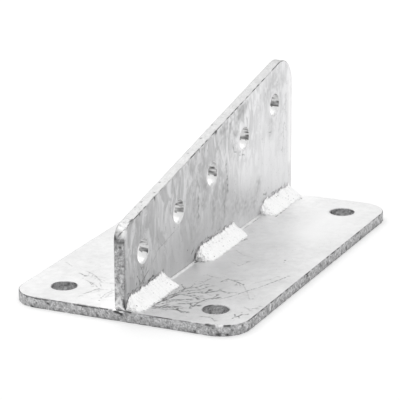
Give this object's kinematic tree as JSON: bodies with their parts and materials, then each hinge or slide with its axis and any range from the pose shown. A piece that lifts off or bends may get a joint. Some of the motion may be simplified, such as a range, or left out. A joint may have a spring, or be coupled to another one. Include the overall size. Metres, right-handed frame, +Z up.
{
  "type": "anchor plate",
  "caption": "Welded steel anchor plate: a flat base plate with anchor holes and an upright knife plate with a row of bolt holes along its sloping top edge.",
  "frame": {"origin": "middle of the base plate's underside", "axes": "+X along the knife plate towards its tall end, +Y to the left seen from the low end, +Z up"},
  "size_m": [0.3, 0.18, 0.1232],
  "materials": {
    "galvanised_plate": "hot-dip galvanised, matt light grey",
    "galvanised_fin": "hot-dip galvanised, matt light grey with runs",
    "galvanised_weld": "rough bright zinc over weld metal"
  },
  "bodies": {
    "root": {"base_plate": "galvanised_plate", "fin_plate": "galvanised_fin", "weld_right_low": "galvanised_weld", "weld_right_mid": "galvanised_weld", "weld_right_tall": "galvanised_weld", "weld_left_low": "galvanised_weld", "weld_left_tall": "galvanised_weld"}
  },
  "joints": []
}
